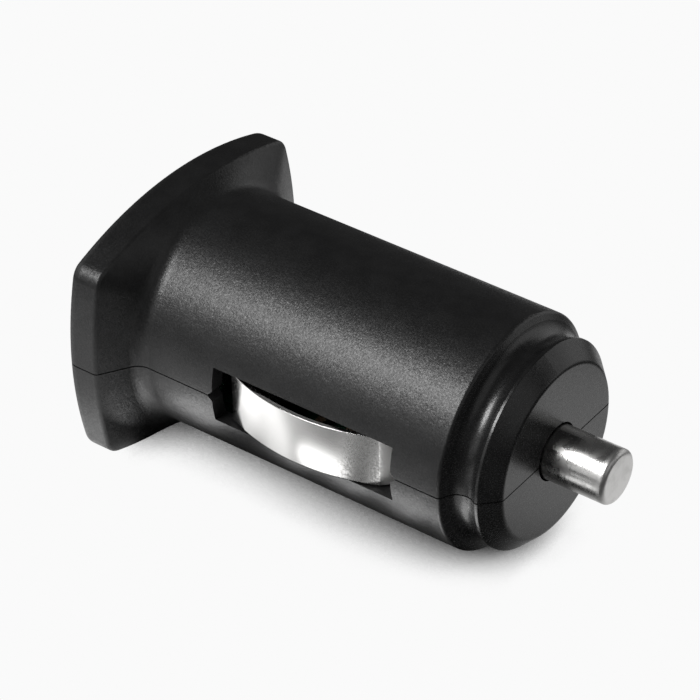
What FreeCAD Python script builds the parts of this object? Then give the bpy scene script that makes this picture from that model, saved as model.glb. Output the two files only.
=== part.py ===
import FreeCAD, Part
import math
import os

# Small in-car USB charger for a lighter socket, in millimetres.
# The X axis runs along the plug towards its tip, Z is up and the moulded halves part at Z = 0.
# The origin is on the axis where the sloped front of the head meets the round body.

# Round body
body_radius = 10.4
body_length = 30.25
body_wall = 1.4
shoulder_drop = 0.6
shoulder_run = 0.35
shoulder_round = 0.35

# Groove and nose ring in front of the body
groove_depth = 1.56
groove_width = 2.9
groove_low_point = 0.45
ring_step = 1.23
ring_land = 0.25
ring_round = 0.15
nose_height = 1.45
nose_bevel = 1.49
nose_round = 0.5
nose_wall = 1.5

# Head with four bowed sides
head_side_step = 3.3
head_top_step = 0.95
head_side_radius = 36.0
head_corner_radius = 1.8
head_slope = 2.12
head_rim = 2.86
head_dome = 0.5
head_wall = 2.0
head_front_round = 0.4
head_back_round = 1.0
neck_round = 1.7

# Parting line and the pegs that hold the halves together
seam_width = 0.12
seam_depth = 0.16
seam_notch = 0.35
peg_radius = 0.8
peg_height = 1.6
peg_clearance = 0.08
peg_end_clearance = 0.3
boss_wall = 0.8
boss_inset = 0.6

# Side windows and the leaf contacts in them
window_start = 7.55
window_front_land = 4.65
window_half_height = 2.68
window_lift = 0.12
leaf_side_gap = 0.25
leaf_drop = 0.07
leaf_thickness = 0.4
leaf_proud = 0.55
leaf_bow = 1.6
leaf_back_gap = 1.3
leaf_front_gap = 1.8
leaf_leg_depth = 2.4
leaf_leg_lean = 0.45
leaf_foot = 1.0
leaf_tab = 1.2
leaf_wall_gap = 0.35
leaf_travel = 0.8

# Centre contact with its spring and terminal
pin_radius = 2.4
pin_reach = 5.9
pin_round = 0.45
pin_hole_gap = 0.17
collar_radius = 3.5
collar_thickness = 1.2
spigot_length = 1.6
guide_gap = 0.3
guide_wall = 1.3
guide_length = 6.6
spring_wire = 0.5
spring_turns = 6.5
spring_flats = 8
spring_spigot_gap = 0.2
spigot_radius = 2.1
seat_setback = 1.9
seat_thickness = 0.4
seat_rim = 0.35
terminal_width = 2.0
terminal_length = 2.2

# Socket for the lead, a standard size
port_width = 12.5
port_height = 5.12
port_sheet = 0.3
port_length = 10.9
port_recess = 0.3
port_gap = 0.12
port_leg_width = 2.0
port_leg_depth = 0.5
tongue_thickness = 1.84
tongue_width = 11.1
tongue_top_gap = 0.66
tongue_recess = 0.8
insulator_length = 2.8
contact_width = 1.0
contact_thickness = 0.25
contact_pitches = (-3.5, -1.0, 1.0, 3.5)
contact_setback = 0.7
finger_width = 2.2
finger_length = 3.6
finger_slot = 0.35
finger_pitch = 6.0

# Circuit board and the ribs that hold it
board_thickness = 1.2
board_side_gap = 0.63
board_end_gap = 0.35
rib_thickness = 1.0
rib_band_gap = 0.4
rib_tail_gap = 0.8
rib_leg_gap = 1.0
hole_gap = 0.15
running_gap = 0.3

# Parts on the board
can_radius = 2.5
can_height = 7.0
can_foot = 0.4
can_pitch = 5.8
can_groove = 0.3
can_groove_height = 1.3
coil_radius = 3.6
coil_height = 4.8
coil_plate = 0.9
winding_inset = 0.6
winding_thickness = 0.4
chip_length = 4.9
chip_width = 3.9
chip_height = 1.5
chip_stand_off = 0.15
lead_pitch = 1.27
lead_steps = (-1.5, -0.5, 0.5, 1.5)
lead_width = 0.42
lead_thickness = 0.2
lead_reach = 1.0
diode_length = 4.3
diode_width = 2.6
diode_height = 2.1
small_part_length = 1.6
small_part_width = 0.8
small_part_height = 0.5
small_part_pitch = 1.8
small_part_gap = 0.8
lamp_length = 1.2
lamp_width = 2.4
lamp_height = 1.5
pipe_radius = 0.9
pipe_collar = 0.4
pipe_gap = 0.06

# Places that follow from the sizes above
head_half_width = body_radius + head_side_step
head_half_height = body_radius + head_top_step
ring_x = body_length + groove_width
nose_x = ring_x + nose_height
groove_radius = body_radius - groove_depth
ring_radius = body_radius - ring_step
nose_face_radius = ring_radius - nose_bevel
rim_front_x = -head_slope
rim_back_x = rim_front_x - head_rim
back_x = rim_back_x - head_dome
cavity_radius = body_radius - body_wall
cavity_back_x = back_x + head_wall
cavity_front_x = body_length - body_wall
nose_cavity_radius = groove_radius - body_wall
nose_inner_x = nose_x - nose_wall
window_end = body_length - window_front_land
leaf_half_width = window_half_height - leaf_side_gap
leaf_lift = window_lift - leaf_drop
leaf_end_x = window_end + leaf_tab
peg_boss_radius = peg_radius + boss_wall
boss_x = leaf_end_x + leaf_wall_gap + peg_boss_radius
boss_y = cavity_radius - peg_boss_radius - boss_inset
guide_radius = collar_radius + guide_gap
guide_back_x = nose_inner_x - guide_length
collar_back_x = nose_inner_x - collar_thickness
seat_front_x = window_end - seat_setback
seat_back_x = seat_front_x - seat_thickness
spring_radius = spigot_radius + spring_spigot_gap + spring_wire / 2
seat_radius = spring_radius + spring_wire / 2 + seat_rim
bulkhead_x = seat_back_x - rib_thickness
port_back_x = back_x + port_recess
port_front_x = port_back_x + port_length
port_half_width = port_width / 2 + port_sheet
port_half_height = port_height / 2 + port_sheet
board_top = -port_half_height
board_bottom = board_top - board_thickness
board_half_width = math.sqrt(cavity_radius ** 2 - board_bottom ** 2) - board_side_gap
board_back_x = cavity_back_x + board_end_gap
board_front_x = seat_back_x - board_end_gap / 2
insulator_front_x = port_front_x - running_gap
insulator_back_x = insulator_front_x - insulator_length
tongue_top = port_height / 2 - tongue_top_gap
tongue_bottom = tongue_top - tongue_thickness
tail_x = insulator_front_x + contact_thickness / 2
rear_rib_x = insulator_front_x - rib_tail_gap - rib_thickness
port_leg_x = rear_rib_x - rib_leg_gap - port_leg_width
lamp_x = board_back_x + running_gap
pipe_z = board_bottom - pipe_radius - pipe_collar - pipe_gap

# Even gaps between the parts under the board, from the socket to the board's front end
under_length = chip_length + diode_length + small_part_length + 2 * rib_thickness
under_gap = (board_front_x - port_front_x - under_length) / 6
chip_x = port_front_x + under_gap + chip_length / 2
middle_rib_x = chip_x + chip_length / 2 + under_gap
diode_x = middle_rib_x + rib_thickness + under_gap + diode_length / 2
front_rib_x = diode_x + diode_length / 2 + under_gap
resistor_x = front_rib_x + rib_thickness + under_gap

# Even gaps between the parts on top of it, from the socket to the spring seat's terminal
top_gap = (seat_back_x - terminal_length - port_front_x - 2 * can_radius - 2 * coil_radius) / 3
can_x = port_front_x + top_gap + can_radius
coil_x = can_x + can_radius + top_gap + coil_radius


def block(x0, x1, y0, y1, z0, z1):
    return Part.makeBox(x1 - x0, y1 - y0, z1 - z0, FreeCAD.Vector(x0, y0, z0))


def rod(radius, x0, x1, y=0, z=0):
    return Part.makeCylinder(radius, x1 - x0, FreeCAD.Vector(x0, y, z), FreeCAD.Vector(1, 0, 0))


def post(radius, x, y, z0, z1):
    return Part.makeCylinder(radius, z1 - z0, FreeCAD.Vector(x, y, z0), FreeCAD.Vector(0, 0, 1))


def joined(first, *others):
    return first.fuse(list(others)).removeSplitter()


def arc(a, b, c):
    return Part.Arc(a, b, c).toShape()


def line(a, b):
    return Part.makeLine(a, b)


def mirrored_in_y(shape):
    return shape.mirror(FreeCAD.Vector(0, 0, 0), FreeCAD.Vector(0, 1, 0))


def bend(before, corner, after, radius):
    # Start, middle and end of the arc that rounds a corner between two straight runs
    one = (before - corner).normalize()
    other = (after - corner).normalize()
    half_angle = one.getAngle(other) / 2
    cut = radius / math.tan(half_angle)
    middle = corner + (one + other).normalize() * (radius / math.sin(half_angle) - radius)
    return corner + one * cut, middle, corner + other * cut


def profile_point(x, radius):
    return FreeCAD.Vector(x, 0, radius)


def turned(edges):
    face = Part.Face(Part.Wire(edges))
    return face.revolve(FreeCAD.Vector(0, 0, 0), FreeCAD.Vector(1, 0, 0), 360)


def rounded(shape, radius, wanted):
    return shape.makeFillet(radius, [edge for edge in shape.Edges if wanted(edge)])


def ring_edge(x, radius):
    # Picks the whole circle about the axis at this place
    def wanted(edge):
        box = edge.BoundBox
        return abs(box.XMin - x) < 0.01 and box.XLength < 0.01 and abs(box.ZMax - radius) < 0.01
    return wanted


def corner_points(inset):
    # Ends and middle of the corner arc where +Y and +Z are both positive, tangent to both bowed sides
    side_radius = head_side_radius - inset
    top_offset = head_side_radius - head_half_height
    side_offset = head_side_radius - head_half_width
    reach = head_side_radius - head_corner_radius
    apart = math.hypot(top_offset, side_offset)
    along = math.sqrt(reach ** 2 - (apart / 2) ** 2)
    centre_y = along * top_offset / apart - side_offset / 2
    centre_z = along * side_offset / apart - top_offset / 2
    grow = side_radius / reach
    corner_radius = head_corner_radius - inset
    top_end = (centre_y * grow, (centre_z + top_offset) * grow - top_offset)
    side_end = ((centre_y + side_offset) * grow - side_offset, centre_z * grow)
    middle = (centre_y + corner_radius * top_offset / apart,
              centre_z + corner_radius * side_offset / apart)
    return top_end, middle, side_end


def eight_arc_wire(x, top_end, middle, side_end, half_width, half_height):
    def at(point, y_sign, z_sign):
        return FreeCAD.Vector(x, point[0] * y_sign, point[1] * z_sign)
    edges = [arc(at(top_end, -1, 1), at((0, half_height), 1, 1), at(top_end, 1, 1)),
             arc(at(top_end, 1, 1), at(middle, 1, 1), at(side_end, 1, 1)),
             arc(at(side_end, 1, 1), at((half_width, 0), 1, 1), at(side_end, 1, -1)),
             arc(at(side_end, 1, -1), at(middle, 1, -1), at(top_end, 1, -1)),
             arc(at(top_end, 1, -1), at((0, half_height), 1, -1), at(top_end, -1, -1)),
             arc(at(top_end, -1, -1), at(middle, -1, -1), at(side_end, -1, -1)),
             arc(at(side_end, -1, -1), at((half_width, 0), -1, 1), at(side_end, -1, 1)),
             arc(at(side_end, -1, 1), at(middle, -1, 1), at(top_end, -1, 1))]
    return Part.Wire(edges)


def head_outline(x, inset):
    top_end, middle, side_end = corner_points(inset)
    return eight_arc_wire(x, top_end, middle, side_end, head_half_width - inset, head_half_height - inset)


def neck_circle(x, radius):
    # A circle in eight arcs that start and end in line with the head's own
    def on_circle(point):
        scale = radius / math.hypot(*point)
        return point[0] * scale, point[1] * scale
    top_end, middle, side_end = [on_circle(point) for point in corner_points(0)]
    return eight_arc_wire(x, top_end, middle, side_end, radius, radius)


def plain_head(inset):
    reach = math.hypot(head_half_width, head_half_height)
    dome_radius = (reach ** 2 + head_dome ** 2) / (2 * head_dome)
    dome = Part.makeSphere(dome_radius, FreeCAD.Vector(back_x + inset + dome_radius, 0, 0))
    slab = Part.Face(head_outline(back_x, inset)).extrude(FreeCAD.Vector(rim_front_x - back_x, 0, 0))
    slope = Part.makeLoft([head_outline(rim_front_x, inset), neck_circle(0, body_radius - inset)],
                          True, True)
    return joined(slab.common(dome), slope)


def head_form():
    def back_edge(edge):
        box = edge.BoundBox
        return box.XMax < rim_back_x + head_dome and box.XMin > back_x + 0.01

    def front_edge(edge):
        box = edge.BoundBox
        return abs(box.XMin - rim_front_x) < 0.01 and abs(box.XMax - rim_front_x) < 0.01

    head = rounded(plain_head(0), head_back_round, back_edge)
    return rounded(head, head_front_round, front_edge)


def body_form(inset):
    low_x = (body_length + ring_x) / 2 + groove_low_point / 2
    back = profile_point(rim_front_x, body_radius - inset)
    shoulder = profile_point(body_length, body_radius - inset)
    groove_start = profile_point(body_length + shoulder_run, body_radius - shoulder_drop - inset)
    groove_low = profile_point(low_x, groove_radius - inset)
    groove_end = profile_point(ring_x - ring_land, ring_radius - inset)
    ring_point = profile_point(ring_x, ring_radius - inset)
    face_point = profile_point(nose_x - inset, nose_face_radius - inset)
    tip = profile_point(nose_x - inset, 0)
    foot = profile_point(rim_front_x, 0)
    shoulder_arc = bend(back, shoulder, groove_start, shoulder_round)
    ring_arc = bend(groove_end, ring_point, face_point, ring_round)
    face_arc = bend(ring_point, face_point, tip, nose_round)
    edges = [line(foot, back),
             line(back, shoulder_arc[0]),
             arc(*shoulder_arc),
             line(shoulder_arc[2], groove_start),
             arc(groove_start, groove_low, groove_end),
             line(groove_end, ring_arc[0]),
             arc(*ring_arc),
             line(ring_arc[2], face_arc[0]),
             arc(*face_arc),
             line(face_arc[2], tip),
             line(tip, foot)]
    return turned(edges)


def outer_form():
    whole = joined(head_form(), body_form(0))
    return rounded(whole, neck_round, lambda edge: abs(edge.BoundBox.XMin) < 0.01
                   and abs(edge.BoundBox.XMax) < 0.01)


def cavity_form():
    return joined(rod(cavity_radius, cavity_back_x, cavity_front_x),
                  rod(nose_cavity_radius, cavity_back_x, nose_inner_x))


def seam_groove():
    # A shallow slot round the outside where the two halves meet
    core = joined(plain_head(seam_depth), body_form(seam_depth))
    reach = 2 * body_length
    slab = block(-reach, reach, -reach, reach, -seam_width / 2, seam_width / 2)
    return slab.cut(core)


def window_cuts():
    cuts = []
    for side in (-1, 1):
        y_in = side * (cavity_radius - body_wall)
        y_out = side * (body_radius + body_wall)
        cuts.append(block(window_start, window_end, min(y_in, y_out), max(y_in, y_out),
                          window_lift - window_half_height, window_lift + window_half_height))
        for x in (window_start, window_end):
            notch = block(-seam_notch, seam_notch, min(y_in, y_out), max(y_in, y_out),
                          -seam_notch, seam_notch)
            notch.rotate(FreeCAD.Vector(0, 0, 0), FreeCAD.Vector(0, 1, 0), 45)
            cuts.append(notch.translated(FreeCAD.Vector(x, 0, 0)))
    return cuts


def port_opening():
    y = port_half_width + port_gap
    z = port_half_height + port_gap
    return block(back_x - head_wall, cavity_back_x + head_wall, -y, y, -z, z)


def guide_form():
    outer = rod(guide_radius + guide_wall, guide_back_x, nose_inner_x)
    return outer.cut(rod(guide_radius, guide_back_x, nose_inner_x))


def peg_places():
    head_peg_x = (rim_front_x + rim_back_x) / 2
    head_peg_y = (head_half_width + cavity_radius) / 2 + peg_radius / 2
    return [(boss_x, boss_y), (boss_x, -boss_y), (head_peg_x, head_peg_y), (head_peg_x, -head_peg_y)]


def boss_forms():
    limit = rod(cavity_radius + body_wall / 2, cavity_back_x, cavity_front_x + body_wall)
    posts = [post(peg_boss_radius, boss_x, side * boss_y, -cavity_radius, cavity_radius)
             for side in (-1, 1)]
    return [form.common(limit) for form in posts]


def rib_form(x, z0, z1):
    # A cross wall of the moulding between two heights, trimmed to run into the outer wall
    slab = block(x, x + rib_thickness, -body_radius, body_radius, z0, z1)
    return slab.common(rod(cavity_radius + body_wall / 2, x, x + rib_thickness))


def half_space(sign):
    reach = 2 * body_length
    low, high = (0, reach) if sign > 0 else (-reach, 0)
    return block(-reach, reach, -reach, reach, low, high)


def shell_openings():
    pin_hole = rod(pin_radius + pin_hole_gap, nose_inner_x - nose_wall, nose_x + nose_wall)
    return [pin_hole, port_opening(), seam_groove()] + window_cuts()


def shell_half(sign, ribs):
    form = outer_form().cut(cavity_form())
    inner = [form_part.common(half_space(sign)) for form_part in [guide_form()] + boss_forms()]
    half = form.common(half_space(sign))
    return joined(half, *(inner + ribs))


def bulkhead_forms():
    # The cross wall behind the spring seat reaches down to the board but stays clear of the leaves
    band = window_lift + window_half_height + rib_band_gap
    clear_y = cavity_radius - leaf_wall_gap - leaf_travel - leaf_thickness - rib_band_gap
    passage_y = terminal_width / 2 + hole_gap
    passage_top = board_top + seat_thickness + hole_gap
    return [rib_form(bulkhead_x, band, cavity_radius),
            block(bulkhead_x, seat_back_x, -clear_y, clear_y, passage_top, band),
            block(bulkhead_x, seat_back_x, -clear_y, -passage_y, board_top, passage_top),
            block(bulkhead_x, seat_back_x, passage_y, clear_y, board_top, passage_top)]


def upper_shell():
    port_rib = rib_form(port_leg_x, port_half_height, cavity_radius)
    half = shell_half(1, [port_rib] + bulkhead_forms())
    sockets = [post(peg_radius + peg_clearance, x, y, 0, peg_height + peg_end_clearance)
               for x, y in peg_places()]
    return half.cut(shell_openings() + sockets)


def lower_shell():
    ribs = [rib_form(x, -cavity_radius, board_bottom) for x in (rear_rib_x, middle_rib_x, front_rib_x)]
    pipe_hole = rod(pipe_radius + pipe_gap, back_x - head_wall, cavity_back_x + head_wall, 0, pipe_z)
    half = shell_half(-1, ribs).cut(shell_openings() + [pipe_hole])
    pegs = [post(peg_radius, x, y, -peg_height, peg_height) for x, y in peg_places()]
    return joined(half, *pegs)


def leaf_contact():
    # A bowed strip with a leg and foot at the head end and a sunk tab at the tip end
    crest_y = body_radius + leaf_proud
    bow_back_x = window_start + leaf_back_gap
    bow_front_x = window_end - leaf_front_gap
    end_y = crest_y - leaf_bow
    foot_y = end_y - leaf_leg_depth
    leg_x = bow_back_x - leaf_leg_lean
    tab_y = math.sqrt(cavity_radius ** 2 - (leaf_half_width + leaf_lift) ** 2) - leaf_wall_gap
    drop = end_y - tab_y
    foot_end = FreeCAD.Vector(window_start - leaf_foot, foot_y, 0)
    foot_bend = FreeCAD.Vector(leg_x, foot_y, 0)
    bow_back = FreeCAD.Vector(bow_back_x, end_y, 0)
    crest = FreeCAD.Vector((bow_back_x + bow_front_x) / 2, crest_y, 0)
    bow_front = FreeCAD.Vector(bow_front_x, end_y, 0)
    tab_bend = FreeCAD.Vector(bow_front_x + drop, tab_y, 0)
    tab_end = FreeCAD.Vector(leaf_end_x, tab_y, 0)
    path = Part.Wire([line(foot_end, foot_bend), line(foot_bend, bow_back),
                      arc(bow_back, crest, bow_front),
                      line(bow_front, tab_bend), line(tab_bend, tab_end)])
    section = path.makeOffset2D(leaf_thickness, 2, True, True)
    strip = section.extrude(FreeCAD.Vector(0, 0, 2 * leaf_half_width))
    return strip.translated(FreeCAD.Vector(0, 0, leaf_lift - leaf_half_width))


def centre_pin():
    shank = rod(pin_radius, collar_back_x, nose_x + pin_reach)
    collar = rod(collar_radius, collar_back_x, nose_inner_x)
    spigot = rod(spigot_radius, collar_back_x - spigot_length, collar_back_x)
    pin = joined(shank, collar, spigot)
    return rounded(pin, pin_round, ring_edge(nose_x + pin_reach, pin_radius))


def tip_spring():
    # The wire's section has flats instead of a full circle, to keep the coil light
    length = collar_back_x - seat_front_x - spring_wire
    helix = Part.makeHelix(length / spring_turns, length, spring_radius)
    flat_angle = 2 * math.pi / spring_flats
    corner_reach = spring_wire / 2 / math.cos(flat_angle / 2)
    corners = []
    for step in range(spring_flats + 1):
        angle = (step % spring_flats + 0.5) * flat_angle
        corners.append(FreeCAD.Vector(spring_radius + corner_reach * math.cos(angle), 0,
                                      corner_reach * math.sin(angle)))
    coil = Part.Wire(helix.Edges).makePipeShell([Part.makePolygon(corners)], True, True)
    coil.rotate(FreeCAD.Vector(0, 0, 0), FreeCAD.Vector(0, 1, 0), 90)
    return coil.translated(FreeCAD.Vector(seat_front_x + spring_wire / 2, 0, 0))


def spring_seat():
    disc = rod(seat_radius, seat_back_x, seat_front_x)
    foot = block(seat_back_x - terminal_length, seat_front_x, -terminal_width / 2, terminal_width / 2,
                 board_top, board_top + seat_thickness)
    return joined(disc, foot)


def finger_slots(z):
    # U-shaped cuts that leave a sprung finger in the sheet above and below the plug
    cuts = []
    for y in (-finger_pitch / 2, finger_pitch / 2):
        x0 = port_back_x + finger_length / 2
        outer = block(x0, x0 + finger_length, y - finger_width / 2, y + finger_width / 2,
                      z - port_sheet, z + port_sheet)
        inner = block(x0, x0 + finger_length - finger_slot, y - finger_width / 2 + finger_slot,
                      y + finger_width / 2 - finger_slot, z - port_sheet, z + port_sheet)
        cuts.append(outer.cut(inner))
    return cuts


def usb_shell():
    tube = block(port_back_x, port_front_x, -port_half_width, port_half_width,
                 -port_half_height, port_half_height)
    inside = block(port_back_x, port_front_x, -port_width / 2, port_width / 2,
                   -port_height / 2, port_height / 2)
    tails = block(insulator_front_x - running_gap, port_front_x, -port_width / 2, port_width / 2,
                  -port_half_height, 0)
    tube = tube.cut([inside, tails] + finger_slots(port_half_height) + finger_slots(-port_half_height))
    legs = [block(port_leg_x, port_leg_x + port_leg_width, y, y + port_sheet,
                  board_bottom - port_leg_depth, 0) for y in leg_places()]
    return joined(tube, *legs)


def leg_places():
    return (-port_half_width, port_half_width - port_sheet)


def usb_tongue():
    base = block(insulator_back_x, insulator_front_x, -port_width / 2, port_width / 2,
                 -port_height / 2, port_height / 2)
    tongue = block(port_back_x + tongue_recess, insulator_back_x, -tongue_width / 2, tongue_width / 2,
                   tongue_bottom, tongue_top)
    body = joined(base, tongue)
    return body.cut([contact_slot(y) for y in contact_pitches])


def contact_slot(y):
    return block(port_back_x + tongue_recess + contact_setback, port_front_x,
                 y - contact_width / 2, y + contact_width / 2,
                 tongue_bottom - contact_thickness / 2, tongue_bottom + contact_thickness / 2)


def usb_contacts():
    contacts = []
    for y in contact_pitches:
        blade = contact_slot(y).common(block(back_x, insulator_front_x + contact_thickness,
                                             -body_radius, body_radius, -body_radius, body_radius))
        tail = block(insulator_front_x, insulator_front_x + contact_thickness,
                     y - contact_width / 2, y + contact_width / 2,
                     board_bottom - port_leg_depth, tongue_bottom + contact_thickness / 2)
        contacts.append(joined(blade, tail))
    return Part.makeCompound(contacts)


def circuit_board():
    board = block(board_back_x, board_front_x, -board_half_width, board_half_width,
                  board_bottom, board_top)
    low, high = board_bottom - board_thickness, board_top + board_thickness
    holes = [post(contact_width / 2 + hole_gap, tail_x, y, low, high) for y in contact_pitches]
    for y in leg_places():
        holes.append(block(port_leg_x - hole_gap, port_leg_x + port_leg_width + hole_gap,
                           y - hole_gap, y + port_sheet + hole_gap, low, high))
    return board.cut(holes)


def capacitor_cans():
    cans = []
    for y in (-can_pitch / 2, can_pitch / 2):
        can = post(can_radius, can_x, y, board_top + can_foot, board_top + can_height)
        groove_z = board_top + can_groove_height
        ring = post(can_radius, can_x, y, groove_z, groove_z + can_groove)
        neck = post(can_radius - can_groove / 2, can_x, y, groove_z, groove_z + can_groove)
        cans.append(can.cut(ring.cut(neck)))
    return Part.makeCompound(cans)


def capacitor_feet():
    feet = []
    for y in (-can_pitch / 2, can_pitch / 2):
        feet.append(post(can_radius - can_groove / 2, can_x, y, board_top, board_top + can_foot))
    return Part.makeCompound(feet)


def inductor_core():
    drum_radius = coil_radius - winding_inset - winding_thickness
    drum = post(drum_radius, coil_x, 0, board_top, board_top + coil_height)
    lower = post(coil_radius, coil_x, 0, board_top, board_top + coil_plate)
    upper = post(coil_radius, coil_x, 0, board_top + coil_height - coil_plate, board_top + coil_height)
    return joined(drum, lower, upper)


def inductor_winding():
    z0 = board_top + coil_plate
    z1 = board_top + coil_height - coil_plate
    outer = post(coil_radius - winding_inset, coil_x, 0, z0, z1)
    return outer.cut(post(coil_radius - winding_inset - winding_thickness, coil_x, 0, z0, z1))


def converter_chip():
    top = board_bottom - chip_stand_off
    return block(chip_x - chip_length / 2, chip_x + chip_length / 2, -chip_width / 2, chip_width / 2,
                 top - chip_height, top)


def chip_leads():
    # Four gull-wing leads on each side of the chip, hanging from the underside of the board
    leads = []
    root_z = board_bottom - chip_stand_off - chip_height / 2
    for side in (-1, 1):
        for step in lead_steps:
            x0 = chip_x + step * lead_pitch - lead_width / 2
            inner = side * chip_width / 2
            bend = side * (chip_width / 2 + lead_reach / 2)
            tip = side * (chip_width / 2 + lead_reach)
            path = [FreeCAD.Vector(x0, inner, root_z), FreeCAD.Vector(x0, bend, root_z),
                    FreeCAD.Vector(x0, bend, board_bottom), FreeCAD.Vector(x0, tip, board_bottom),
                    FreeCAD.Vector(x0, tip, board_bottom - lead_thickness),
                    FreeCAD.Vector(x0, bend + side * lead_thickness, board_bottom - lead_thickness),
                    FreeCAD.Vector(x0, bend + side * lead_thickness, root_z - lead_thickness),
                    FreeCAD.Vector(x0, inner, root_z - lead_thickness)]
            face = Part.Face(Part.makePolygon(path + path[:1]))
            leads.append(face.extrude(FreeCAD.Vector(lead_width, 0, 0)))
    return Part.makeCompound(leads)


def schottky_diode():
    return block(diode_x - diode_length / 2, diode_x + diode_length / 2, -diode_width / 2,
                 diode_width / 2, board_bottom - diode_height, board_bottom)


def resistors():
    chips = []
    for step in lead_steps:
        y0 = step * small_part_pitch - small_part_width / 2
        chips.append(block(resistor_x, resistor_x + small_part_length, y0, y0 + small_part_width,
                           board_bottom - small_part_height, board_bottom))
    return Part.makeCompound(chips)


def ceramic_capacitors():
    y_in = coil_radius + small_part_gap
    chips = []
    for side in (-1, 1):
        for x0 in (coil_x - small_part_pitch, coil_x + small_part_pitch - small_part_width):
            low, high = sorted((side * y_in, side * (y_in + small_part_length)))
            chips.append(block(x0, x0 + small_part_width, low, high,
                               board_top, board_top + small_part_width))
    return Part.makeCompound(chips)


def indicator_lamp():
    return block(lamp_x, lamp_x + lamp_length, -lamp_width / 2, lamp_width / 2,
                 board_bottom - lamp_height, board_bottom)


def light_pipe():
    dome_drop = head_dome * (pipe_z / head_half_height) ** 2
    end_x = board_back_x + running_gap / 2
    stem = rod(pipe_radius, back_x + dome_drop, end_x, 0, pipe_z)
    collar = rod(pipe_radius + pipe_collar, cavity_back_x, cavity_back_x + pipe_collar, 0, pipe_z)
    return joined(stem, collar)


def write_parts():
    leaf_right = leaf_contact()
    parts = {
        "upper_shell": upper_shell(),
        "lower_shell": lower_shell(),
        "side_contact_left": mirrored_in_y(leaf_right),
        "side_contact_right": leaf_right,
        "centre_pin": centre_pin(),
        "tip_spring": tip_spring(),
        "spring_seat": spring_seat(),
        "usb_shell": usb_shell(),
        "usb_tongue": usb_tongue(),
        "usb_contacts": usb_contacts(),
        "circuit_board": circuit_board(),
        "capacitor_cans": capacitor_cans(),
        "capacitor_feet": capacitor_feet(),
        "inductor_core": inductor_core(),
        "inductor_winding": inductor_winding(),
        "converter_chip": converter_chip(),
        "chip_leads": chip_leads(),
        "schottky_diode": schottky_diode(),
        "resistors": resistors(),
        "ceramic_capacitors": ceramic_capacitors(),
        "indicator_lamp": indicator_lamp(),
        "light_pipe": light_pipe(),
    }
    os.makedirs("parts", exist_ok=True)
    for name, shape in parts.items():
        shape.exportStep("parts/" + name + ".step")
        print(name, "solids", len(shape.Solids), "valid", shape.isValid(),
              "volume", round(shape.Volume, 2))


write_parts()
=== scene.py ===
import bpy
import math
from mathutils import Matrix, Vector


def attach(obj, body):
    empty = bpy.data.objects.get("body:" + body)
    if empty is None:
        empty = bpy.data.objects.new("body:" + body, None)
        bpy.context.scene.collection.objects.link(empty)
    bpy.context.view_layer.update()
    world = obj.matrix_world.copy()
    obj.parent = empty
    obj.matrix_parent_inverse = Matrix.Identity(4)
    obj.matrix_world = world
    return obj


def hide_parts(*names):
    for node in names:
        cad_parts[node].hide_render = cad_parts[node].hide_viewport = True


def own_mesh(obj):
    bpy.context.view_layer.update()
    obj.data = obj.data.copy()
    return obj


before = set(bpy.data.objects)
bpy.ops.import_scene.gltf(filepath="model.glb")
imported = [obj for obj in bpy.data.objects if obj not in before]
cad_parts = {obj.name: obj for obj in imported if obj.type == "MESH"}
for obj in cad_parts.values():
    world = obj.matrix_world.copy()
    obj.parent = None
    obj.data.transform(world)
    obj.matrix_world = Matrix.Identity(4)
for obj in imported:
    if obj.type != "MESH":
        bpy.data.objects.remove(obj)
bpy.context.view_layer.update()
print("frame loaded")


# Camera, at the photograph's viewing angle. Angles are in degrees, azimuth from -Y towards +X.
cameraView = {
    "lookAt": (0.01394, 0.00008, 0.00113),
    "distance": 0.28366,
    "azimuth": 37.158,
    "elevation": 37.208,
    "roll": -1.192,
    "lens": 175.96,  # in millimetres, as sensor is
    "sensor": 36.0,
    "nearest": 0.02,
}


def makeCamera(view):
    azimuth, elevation, roll = (math.radians(view[angle]) for angle in ("azimuth", "elevation", "roll"))
    back = Vector((math.cos(elevation) * math.sin(azimuth),
                   -math.cos(elevation) * math.cos(azimuth), math.sin(elevation)))
    levelRight = Vector((math.cos(azimuth), math.sin(azimuth), 0))
    levelUp = back.cross(levelRight)
    right = levelRight * math.cos(roll) + levelUp * math.sin(roll)
    up = back.cross(right)
    data = bpy.data.cameras.new("camera")
    data.lens = view["lens"]
    data.sensor_width = view["sensor"]
    data.clip_start = view["nearest"]
    camera = bpy.data.objects.new("camera", data)
    bpy.context.scene.collection.objects.link(camera)
    turn = Matrix((right, up, back)).transposed().to_4x4()
    camera.matrix_world = Matrix.Translation(Vector(view["lookAt"]) + back * view["distance"]) @ turn
    bpy.context.scene.camera = camera


makeCamera(cameraView)
print("camera placed")


# Node helpers shared by every material

# Places of the Mix node's sockets, for plain values and for colours
mixSockets = {
    "FLOAT": {"amount": 0, "low": 2, "high": 3, "result": 0},
    "RGBA": {"amount": 0, "low": 6, "high": 7, "result": 2},
}


def newMaterial(name):
    material = bpy.data.materials.new(name)
    material.use_nodes = True
    material.node_tree.nodes.clear()
    return material, material.node_tree


def addNode(tree, kind, **settings):
    node = tree.nodes.new(kind)
    for name, value in settings.items():
        setattr(node, name, value)
    return node


def feed(tree, socket, source):
    # Puts a plain value in a socket, or links another socket to it
    if isinstance(source, bpy.types.NodeSocket):
        tree.links.new(source, socket)
    else:
        socket.default_value = source


def maths(tree, operation, *values):
    node = addNode(tree, "ShaderNodeMath", operation=operation)
    for socket, value in zip(node.inputs, values):
        feed(tree, socket, value)
    return node.outputs[0]


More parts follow.
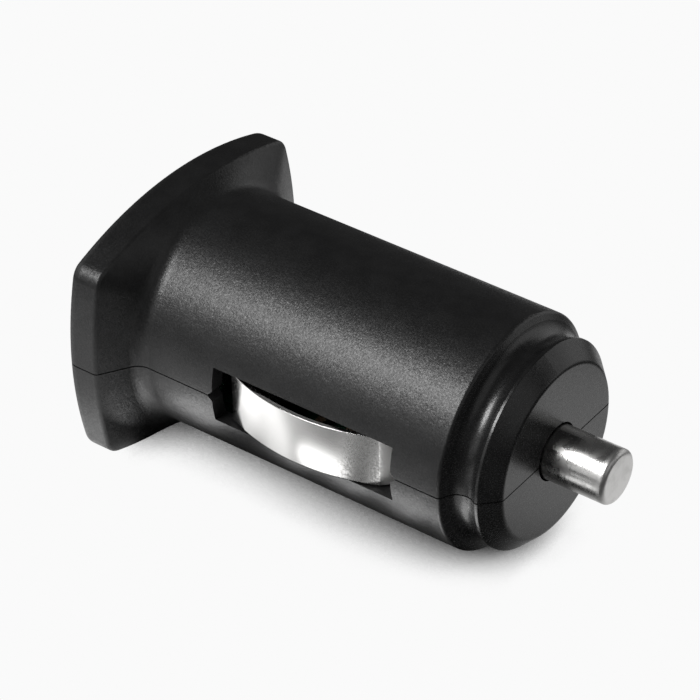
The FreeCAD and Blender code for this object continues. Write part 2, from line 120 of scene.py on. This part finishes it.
def vectorMaths(tree, operation, first, second=None):
    # A scale has a socket of its own, and a length comes out as a plain value
    node = addNode(tree, "ShaderNodeVectorMath", operation=operation)
    feed(tree, node.inputs[0], first)
    if second is not None:
        feed(tree, node.inputs["Scale" if operation == "SCALE" else 1], second)
    return node.outputs["Value" if operation == "LENGTH" else "Vector"]


def sumOf(tree, levels):
    total = levels[0]
    for level in levels[1:]:
        total = maths(tree, "ADD", level, total)
    return total


def ramp(tree, value, low, high, toLow=0.0, toHigh=1.0):
    # A smooth step: toLow up to low, toHigh from high on
    step = addNode(tree, "ShaderNodeMapRange", interpolation_type="SMOOTHSTEP")
    feed(tree, step.inputs["Value"], value)
    for name, amount in (("From Min", low), ("From Max", high), ("To Min", toLow), ("To Max", toHigh)):
        feed(tree, step.inputs[name], amount)
    return step.outputs["Result"]


def between(tree, amount, none, full):
    return ramp(tree, amount, 0.0, 1.0, none, full)


def blend(tree, kind, amount, low, high):
    mix = addNode(tree, "ShaderNodeMix", data_type=kind)
    sockets = mixSockets[kind]
    feed(tree, mix.inputs[sockets["amount"]], amount)
    feed(tree, mix.inputs[sockets["low"]], low)
    feed(tree, mix.inputs[sockets["high"]], high)
    return mix.outputs[sockets["result"]]


def blendShaders(tree, amount, low, high):
    mix = addNode(tree, "ShaderNodeMixShader")
    for socket, source in zip(mix.inputs, (amount, low, high)):
        feed(tree, socket, source)
    return mix.outputs[0]


def objectPlace(tree):
    return addNode(tree, "ShaderNodeTexCoord").outputs["Object"]


def axisOf(tree, place, axis):
    split = addNode(tree, "ShaderNodeSeparateXYZ")
    feed(tree, split.inputs[0], place)
    return split.outputs[axis]


def noiseAt(tree, place, size, detail, stretch=(1, 1, 1)):
    # A noise whose bumps are about this size in metres, longer where stretch is over 1
    scale = addNode(tree, "ShaderNodeMapping")
    scale.inputs["Scale"].default_value = [1 / (size * times) for times in stretch]
    feed(tree, scale.inputs["Vector"], place)
    noise = addNode(tree, "ShaderNodeTexNoise")
    noise.inputs["Scale"].default_value = 1.0
    noise.inputs["Detail"].default_value = detail
    feed(tree, noise.inputs["Vector"], scale.outputs[0])
    return noise.outputs["Fac"]


def roundedEdge(tree, radius, samples):
    edge = addNode(tree, "ShaderNodeBevel", samples=samples)
    edge.inputs["Radius"].default_value = radius
    return edge.outputs[0]


def bumpFrom(tree, height, strength, distance, normal=None):
    bump = addNode(tree, "ShaderNodeBump")
    bump.inputs["Distance"].default_value = distance
    feed(tree, bump.inputs["Strength"], strength)
    feed(tree, bump.inputs["Height"], height)
    if normal is not None:
        feed(tree, bump.inputs["Normal"], normal)
    return bump.outputs[0]


def facetsFrom(tree, normal, place, size, tilt):
    # Small cells of the surface, each tilted its own way, that sparkle where a light falls off
    cellMiddle = (0.5, 0.5, 0.5)  # a cell's colour runs from 0 to 1
    cells = addNode(tree, "ShaderNodeTexVoronoi")
    cells.inputs["Scale"].default_value = 1 / size
    feed(tree, cells.inputs["Vector"], place)
    centred = vectorMaths(tree, "SUBTRACT", cells.outputs["Color"], cellMiddle)
    tilted = vectorMaths(tree, "SCALE", centred, tilt)
    return vectorMaths(tree, "NORMALIZE", vectorMaths(tree, "ADD", tilted, normal))


def finishMaterial(tree, surface):
    out = addNode(tree, "ShaderNodeOutputMaterial")
    feed(tree, out.inputs["Surface"], surface)


def makeShader(tree, colour, roughness, normal, metallic=0.0):
    shader = addNode(tree, "ShaderNodeBsdfPrincipled")
    feed(tree, shader.inputs["Base Color"], colour)
    feed(tree, shader.inputs["Roughness"], roughness)
    feed(tree, shader.inputs["Normal"], normal)
    shader.inputs["Metallic"].default_value = metallic
    finishMaterial(tree, shader.outputs[0])


# The plug lies on the floor on its head's lower edge and on its shoulder, nose down.
# The pools are painted pools of light on the paper, painted reflections that only a gloss shows
# and that no lamp casts; they are longer along X where stretch is over 1. The clear ones are not
# darkened by the plug's painted shadow, and a level below 0 is a patch of painted shade.
floorLook = {
    "headRest": (-0.0025, -0.01135),  # X and Z, as for the shoulder
    "shoulderRest": (0.03005, -0.0104),
    "halfSize": 2.0,
    "brightness": 0.956,
    "shadowReach": 0.04,
    "shadowSamples": 16,
    "shadowSpan": (-0.012, 0.028),
    "shadowFrom": (0.03, 0.09),
    "shadowTo": (0.23, 0.50),
    "glossShadow": (0.58, 0.86),
    "glossBase": 0.06,
    "bounceColour": (0.8, 0.8, 0.8, 1),
    "paintedLightPools": (
        {"middle": (0.000, -0.0170), "stretch": 1.6, "inner": 0.0048, "outer": 0.0072, "level": 0.70},
        {"middle": (-0.020, -0.050), "stretch": 1.0, "inner": 0.018, "outer": 0.062, "level": 1.0},
        {"middle": (0.010, 0.034), "stretch": 1.0, "inner": 0.010, "outer": 0.030, "level": 0.8},
        {"middle": (0.080, 0.200), "stretch": 1.0, "inner": 0.060, "outer": 0.160, "level": 0.6},
    ),
    "clearPaintedLightPools": (
        {"middle": (0.043, 0.012), "stretch": 1.0, "inner": 0.007, "outer": 0.023, "level": 0.84},
        {"middle": (0.0150, -0.0214), "stretch": 3.3, "inner": 0.0012, "outer": 0.0021, "level": 2.4},
        {"middle": (0.0135, -0.0262), "stretch": 1.9, "inner": 0.0010, "outer": 0.0045, "level": -0.22},
        {"middle": (0.032, -0.019), "stretch": 1.3, "inner": 0.004, "outer": 0.007, "level": 1.5},
        {"middle": (-0.006, -0.0135), "stretch": 1.8, "inner": 0.0025, "outer": 0.0060, "level": 0.9},
        {"middle": (0.003, -0.0195), "stretch": 2.2, "inner": 0.0025, "outer": 0.0050, "level": 0.35},
    ),
}


# A painted pool of light: a level that fades out from its middle
def paintedPoolLevel(tree, place, pool):
    shift = addNode(tree, "ShaderNodeMapping", vector_type="TEXTURE")
    shift.inputs["Location"].default_value = (*pool["middle"], 0)
    shift.inputs["Scale"].default_value = (pool["stretch"], 1, 1)
    feed(tree, shift.inputs["Vector"], place)
    reach = vectorMaths(tree, "LENGTH", vectorMaths(tree, "MULTIPLY", shift.outputs[0], (1, 1, 0)))
    return ramp(tree, reach, pool["inner"], pool["outer"], pool["level"], 0.0)


def makeFloorPaper(look):
    material, tree = newMaterial("floor paper")
    openness = addNode(tree, "ShaderNodeAmbientOcclusion", samples=look["shadowSamples"])
    openness.inputs["Distance"].default_value = look["shadowReach"]
    openness = openness.outputs["AO"]
    place = objectPlace(tree)
    along = axisOf(tree, place, "X")
    # As the camera sees it: white, with the plug's shadow, wider towards the nose
    shadowFrom = ramp(tree, along, *look["shadowSpan"], *look["shadowFrom"])
    shadowTo = ramp(tree, along, *look["shadowSpan"], *look["shadowTo"])
    seenLevel = ramp(tree, openness, shadowFrom, shadowTo, 0.0, look["brightness"])
    # As a gloss shows it: painted pools of light and painted shade, not lit by the lamps
    levels = [paintedPoolLevel(tree, place, pool) for pool in look["paintedLightPools"]] + [look["glossBase"]]
    shaded = maths(tree, "MULTIPLY", sumOf(tree, levels), ramp(tree, openness, *look["glossShadow"]))
    glossLevel = sumOf(tree, [shaded] + [paintedPoolLevel(tree, place, pool) for pool in look["clearPaintedLightPools"]])
    rays = addNode(tree, "ShaderNodeLightPath").outputs
    seen = addNode(tree, "ShaderNodeEmission")
    level = blend(tree, "FLOAT", rays["Is Camera Ray"], glossLevel, seenLevel)
    feed(tree, seen.inputs["Strength"], level)
    # Every other ray meets plain paper, and from below the floor is clear
    bounce = addNode(tree, "ShaderNodeBsdfDiffuse")
    bounce.inputs["Color"].default_value = look["bounceColour"]
    clear = addNode(tree, "ShaderNodeBsdfTransparent")
    shown = maths(tree, "MAXIMUM", rays["Is Camera Ray"], rays["Is Glossy Ray"])
    shown = maths(tree, "MAXIMUM", shown, rays["Is Transmission Ray"])
    paper = blendShaders(tree, shown, bounce.outputs[0], seen.outputs[0])
    fromBelow = addNode(tree, "ShaderNodeNewGeometry").outputs["Backfacing"]
    finishMaterial(tree, blendShaders(tree, fromBelow, paper, clear.outputs[0]))
    return material


def makeFloor(look):
    (headX, headZ), (shoulderX, shoulderZ) = look["headRest"], look["shoulderRest"]
    slope = (shoulderZ - headZ) / (shoulderX - headX)
    far = look["halfSize"]
    corners = [(-far, -far), (far, -far), (far, far), (-far, far)]
    mesh = bpy.data.meshes.new("floor")
    mesh.from_pydata([(x, y, headZ + slope * (x - headX)) for x, y in corners], [], [(0, 1, 2, 3)])
    mesh.materials.append(makeFloorPaper(look))
    floor = bpy.data.objects.new("floor", mesh)
    bpy.context.scene.collection.objects.link(floor)


makeFloor(floorLook)
print("floor laid")


# Lamps: place and aim in metres, size as width and height, power in watts
lampRig = {
    "key softbox": {"place": (-0.18, -0.36, 0.43), "aim": (0.0175, 0, 0), "size": (0.26, 0.24), "power": 3.2},
    "front fill": {"place": (-0.19, -0.64, 0.15), "aim": (0.0175, 0, 0), "size": (0.6, 0.2), "power": 0.28},
    "rim softbox": {"place": (0.25, 0.54, 0.15), "aim": (0.0175, 0, 0), "size": (0.8, 0.34), "power": 0.66},
    "port fill": {"place": (-0.50, -0.08, 0.16), "aim": (-0.004, 0, 0), "size": (0.5, 0.4), "power": 0.5},
    "right fill": {"place": (0.52, -0.05, 0.34), "aim": (0.0175, 0, 0), "size": (0.5, 0.4), "power": 0.25},
}
# A row of small lamps just over the paper, turned away from the head, for the housing's underside alone
lowRow = {
    "alongX": (0.0025, 0.0125, 0.0180, 0.0240, 0.0300),
    "y": -0.0130,
    "z": -0.0089,
    "turnedTo": (0.6, 0.4, 0.69),
    "size": (0.005, 0.005),
    "power": 0.00024,
    "lights": ("upper_shell", "lower_shell"),
}
# White where the camera looks past the floor, and dim in a gloss and as the room's own light
worldLook = {"colour": (1, 1, 1, 1), "seenLevel": 0.956, "glossLevel": 0.055, "roomLevel": 0.055}


def makeLamp(name, place, aim, size, power):
    data = bpy.data.lights.new(name, "AREA")
    data.shape = "RECTANGLE"
    data.size, data.size_y = size
    data.energy = power
    light = bpy.data.objects.new(name, data)
    bpy.context.scene.collection.objects.link(light)
    light.visible_camera = False
    light.location = place
    light.rotation_euler = (Vector(place) - Vector(aim)).to_track_quat("Z", "Y").to_euler()
    return light


def makeLowRow(row):
    lit = bpy.data.collections.new("lit by the low row")
    for name in row["lights"]:
        lit.objects.link(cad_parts[name])
    for along in row["alongX"]:
        place = Vector((along, row["y"], row["z"]))
        lamp = makeLamp("low lamp", place, place + Vector(row["turnedTo"]), row["size"], row["power"])
        lamp.light_linking.receiver_collection = lit


def makeWorld(look):
    world = bpy.data.worlds.new("studio")
    world.use_nodes = True
    tree = world.node_tree
    backdrop = tree.nodes["Background"]
    backdrop.inputs["Color"].default_value = look["colour"]
    rays = addNode(tree, "ShaderNodeLightPath").outputs
    seen = maths(tree, "MAXIMUM", rays["Is Camera Ray"], rays["Is Transmission Ray"])
    level = maths(tree, "MULTIPLY", seen, look["seenLevel"])
    level = maths(tree, "MAXIMUM", level, maths(tree, "MULTIPLY", rays["Is Glossy Ray"], look["glossLevel"]))
    feed(tree, backdrop.inputs["Strength"], maths(tree, "MAXIMUM", level, look["roomLevel"]))
    bpy.context.scene.world = world
    bpy.context.scene.view_settings.view_transform = "Standard"


for lampName, lamp in lampRig.items():
    makeLamp(lampName, lamp["place"], lamp["aim"], lamp["size"], lamp["power"])
makeLowRow(lowRow)
makeWorld(worldLook)
print("lamps placed")


# Black moulded housing: spark texture on the head and barrel, finer and shinier from the groove on
housingLook = {
    "nodes": ("upper_shell", "lower_shell"),
    "colour": (0.0065, 0.0065, 0.0067, 1),
    "paleColour": (0.010, 0.010, 0.0102, 1),
    "cloudSize": 0.0018,
    "cloudDetail": 4.0,
    "cloudSpan": (0.35, 0.70),
    "bodyRoughness": 0.40,
    "noseRoughness": 0.29,
    "roughSpread": 0.05,
    "roughSpan": (0.3, 0.7),
    "grainSize": 0.00016,
    "coarseGrainSize": 0.00035,
    "coarseShare": 0.35,
    "grainDetail": 2.0,
    "grainHeight": 0.00003,
    "bodyGrain": 0.45,
    "noseGrain": 0.2,
    "facetSize": 0.00011,
    "bodyTilt": 0.105,
    "noseTilt": 0.03,
    "satinStart": 0.0302,
    "satinBlend": 0.0002,
}


def makeHousingPlastic(look):
    material, tree = newMaterial("spark textured black")
    place = objectPlace(tree)
    along = axisOf(tree, place, "X")
    step = (look["satinStart"], look["satinStart"] + look["satinBlend"])
    fine = noiseAt(tree, place, look["grainSize"], look["grainDetail"])
    coarse = noiseAt(tree, place, look["coarseGrainSize"], look["grainDetail"])
    cloud = noiseAt(tree, place, look["cloudSize"], look["cloudDetail"])
    pale = ramp(tree, cloud, *look["cloudSpan"])
    colour = blend(tree, "RGBA", pale, look["colour"], look["paleColour"])
    gloss = ramp(tree, along, *step, look["bodyRoughness"], look["noseRoughness"])
    speckle = ramp(tree, fine, *look["roughSpan"], -look["roughSpread"], look["roughSpread"])
    height = maths(tree, "MULTIPLY_ADD", coarse, look["coarseShare"], fine)
    texture = ramp(tree, along, *step, look["bodyGrain"], look["noseGrain"])
    tilt = ramp(tree, along, *step, look["bodyTilt"], look["noseTilt"])
    normal = bumpFrom(tree, height, texture, look["grainHeight"])
    normal = facetsFrom(tree, normal, place, look["facetSize"], tilt)
    makeShader(tree, colour, maths(tree, "ADD", gloss, speckle), normal)
    return material


# Rolled nickel strip of the side leaves: fine lines along it, frosted towards the front end,
# and rougher on the fold there, with painted light on the fold: a paler colour for the light it catches
leafLook = {
    "nodes": ("side_contact_left", "side_contact_right"),
    "colour": (0.70, 0.695, 0.685, 1),
    "dullColour": (0.46, 0.455, 0.45, 1),
    "roughness": 0.16,
    "dullRoughness": 0.40,
    "dullStart": 0.0192,
    "dullEnd": 0.0226,
    "leastDull": 0.05,
    "foldStart": 0.0235,
    "foldEnd": 0.0243,
    "foldRoughness": 0.60,
    "foldPaintedLightColour": (0.80, 0.795, 0.78, 1),
    "frostSize": 0.00022,
    "frostDetail": 3.0,
    "frostSpan": (0.25, 0.75),
    "mottleSize": 0.0005,
    "mottleDetail": 5.0,
    "mottleHeight": 0.00001,
    "lineSize": 0.00005,
    "lineDetail": 2.0,
    "lineStretch": (24, 1, 1),
    "lineShare": 0.15,
    "bumpStrength": 0.08,
    "edgeRadius": 0.00012,
    "edgeSamples": 8,
}


def makeLeafMetal(look):
    material, tree = newMaterial("rolled nickel strip")
    place = objectPlace(tree)
    along = axisOf(tree, place, "X")
    mottle = noiseAt(tree, place, look["mottleSize"], look["mottleDetail"])
    lines = noiseAt(tree, place, look["lineSize"], look["lineDetail"], look["lineStretch"])
    frost = noiseAt(tree, place, look["frostSize"], look["frostDetail"])
    frosted = ramp(tree, frost, *look["frostSpan"], look["leastDull"], 1.0)
    towardsEnd = ramp(tree, along, look["dullStart"], look["dullEnd"])
    dullness = maths(tree, "MULTIPLY", towardsEnd, frosted)
    towardsFold = ramp(tree, along, look["foldStart"], look["foldEnd"])
    colour = blend(tree, "RGBA", dullness, look["colour"], look["dullColour"])
    # Painted light: the fold's paler colour stands in for the light that falls on it
    colour = blend(tree, "RGBA", towardsFold, colour, look["foldPaintedLightColour"])
    rough = between(tree, dullness, look["roughness"], look["dullRoughness"])
    rough = between(tree, towardsFold, rough, look["foldRoughness"])
    height = maths(tree, "MULTIPLY_ADD", lines, look["lineShare"], mottle)
    edge = roundedEdge(tree, look["edgeRadius"], look["edgeSamples"])
    normal = bumpFrom(tree, height, look["bumpStrength"], look["mottleHeight"], edge)
    makeShader(tree, colour, rough, normal, metallic=1.0)
    return material


# Turned nickel of the tip contact, with rings about the axis on its side and end, duller at the end
pinLook = {
    "nodes": ("centre_pin",),
    "colour": (0.67, 0.665, 0.655, 1),
    "wornColour": (0.58, 0.575, 0.565, 1),
    "wornSpan": (0.4, 0.7),
    "roughness": 0.28,
    "roughSpread": 0.07,
    "roughSpan": (0.3, 0.7),
    "endStart": 0.0396,
    "endFull": 0.0401,
    "endRoughness": 0.40,
    "ringSize": 0.00009,
    "ringDetail": 1.0,
    "ringHeight": 0.00001,
    "ringStrength": 0.5,
    "patchSize": 0.0010,
    "patchDetail": 4.0,
}


def makePinMetal(look):
    material, tree = newMaterial("turned nickel")
    place = objectPlace(tree)
    along = axisOf(tree, place, "X")
    radius = vectorMaths(tree, "LENGTH", vectorMaths(tree, "MULTIPLY", place, (0, 1, 1)))
    turned = addNode(tree, "ShaderNodeCombineXYZ")
    feed(tree, turned.inputs["X"], along)
    feed(tree, turned.inputs["Y"], radius)
    rings = noiseAt(tree, turned.outputs[0], look["ringSize"], look["ringDetail"])
    patches = noiseAt(tree, place, look["patchSize"], look["patchDetail"])
    worn = ramp(tree, patches, *look["wornSpan"])
    colour = blend(tree, "RGBA", worn, look["colour"], look["wornColour"])
    rough = ramp(tree, patches, *look["roughSpan"], look["roughness"] - look["roughSpread"],
                 look["roughness"] + look["roughSpread"])
    atEnd = ramp(tree, along, look["endStart"], look["endFull"])
    rough = between(tree, atEnd, rough, look["endRoughness"])
    normal = bumpFrom(tree, rings, look["ringStrength"], look["ringHeight"])
    makeShader(tree, colour, rough, normal, metallic=1.0)
    return material


# Pieces inside the housing and in the port, by material
innerLook = {
    "spring wire": {
        "nodes": ("tip_spring",),
        "colour": (0.62, 0.62, 0.62, 1), "roughness": 0.30, "metal": 1.0,
    },
    "plated terminal": {
        "nodes": ("spring_seat", "usb_contacts"),
        "colour": (0.83, 0.66, 0.34, 1), "roughness": 0.28, "metal": 1.0,
    },
    "tinned sheet": {
        "nodes": ("usb_shell", "chip_leads"),
        "colour": (0.72, 0.72, 0.72, 1), "roughness": 0.26, "metal": 1.0,
    },
    "moulded insulator": {
        "nodes": ("usb_tongue", "capacitor_feet"),
        "colour": (0.03, 0.03, 0.03, 1), "roughness": 0.50, "metal": 0.0,
    },
    "green board": {
        "nodes": ("circuit_board",),
        "colour": (0.010, 0.060, 0.028, 1), "roughness": 0.35, "metal": 0.0,
    },
    "drawn can": {
        "nodes": ("capacitor_cans",),
        "colour": (0.75, 0.76, 0.78, 1), "roughness": 0.25, "metal": 1.0,
    },
    "ferrite": {
        "nodes": ("inductor_core",),
        "colour": (0.06, 0.06, 0.065, 1), "roughness": 0.55, "metal": 0.0,
    },
    "copper winding": {
        "nodes": ("inductor_winding",),
        "colour": (0.70, 0.30, 0.12, 1), "roughness": 0.30, "metal": 1.0,
    },
    "chip moulding": {
        "nodes": ("converter_chip", "schottky_diode", "resistors"),
        "colour": (0.03, 0.03, 0.03, 1), "roughness": 0.60, "metal": 0.0,
    },
    "fired ceramic": {
        "nodes": ("ceramic_capacitors",),
        "colour": (0.11, 0.08, 0.05, 1), "roughness": 0.50, "metal": 0.0,
    },
    "lamp moulding": {
        "nodes": ("indicator_lamp",),
        "colour": (0.85, 0.85, 0.8, 1), "roughness": 0.40, "metal": 0.0,
    },
    "clear pipe": {
        "nodes": ("light_pipe",),
        "colour": (0.8, 0.85, 0.9, 1), "roughness": 0.15, "metal": 0.0,
    },
}
# Fine grain and faint shading that all of them share
innerGrain = {
    "size": 0.00015,
    "detail": 3.0,
    "height": 0.00001,
    "strength": 0.2,
    "roughSpread": 0.08,
    "roughSpan": (0.3, 0.7),
    "cloudSize": 0.0012,
    "cloudSpan": (0.35, 0.65),
    "shadeTo": 0.75,
}


def makeInnerMaterial(name, look, grain):
    material, tree = newMaterial(name)
    place = objectPlace(tree)
    speckle = noiseAt(tree, place, grain["size"], grain["detail"])
    cloud = noiseAt(tree, place, grain["cloudSize"], grain["detail"])
    shadedColour = [part * grain["shadeTo"] for part in look["colour"][:3]] + [1]
    shaded = ramp(tree, cloud, *grain["cloudSpan"])
    colour = blend(tree, "RGBA", shaded, look["colour"], shadedColour)
    rough = ramp(tree, speckle, *grain["roughSpan"], look["roughness"] - grain["roughSpread"],
                 look["roughness"] + grain["roughSpread"])
    normal = bumpFrom(tree, speckle, grain["strength"], grain["height"])
    makeShader(tree, colour, rough, normal, look["metal"])
    return material


def dress(nodeNames, material):
    for name in nodeNames:
        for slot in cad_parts[name].material_slots:
            slot.material = material


dress(housingLook["nodes"], makeHousingPlastic(housingLook))
dress(leafLook["nodes"], makeLeafMetal(leafLook))
dress(pinLook["nodes"], makePinMetal(pinLook))
for innerName, look in innerLook.items():
    dress(look["nodes"], makeInnerMaterial(innerName, look, innerGrain))
print("materials assigned")


# The coil behind the tip contact, as a fixed copy of the spring attached to the housing; in the real plug it
# shortens as the contact is pressed in
coilLook = {"node": "tip_spring", "joint": "tip_press", "body": "housing", "slot": "spring_steel"}


def makeCoil(look):
    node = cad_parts[look["node"]]
    coil = bpy.data.objects.new("tip_coil", node.data.copy())
    bpy.context.scene.collection.objects.link(coil)
    for slot, source in zip(coil.material_slots, node.material_slots):
        slot.material = source.material
    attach(coil, look["body"])
    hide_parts(look["node"])
    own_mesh(coil)


makeCoil(coilLook)
print("coil made")
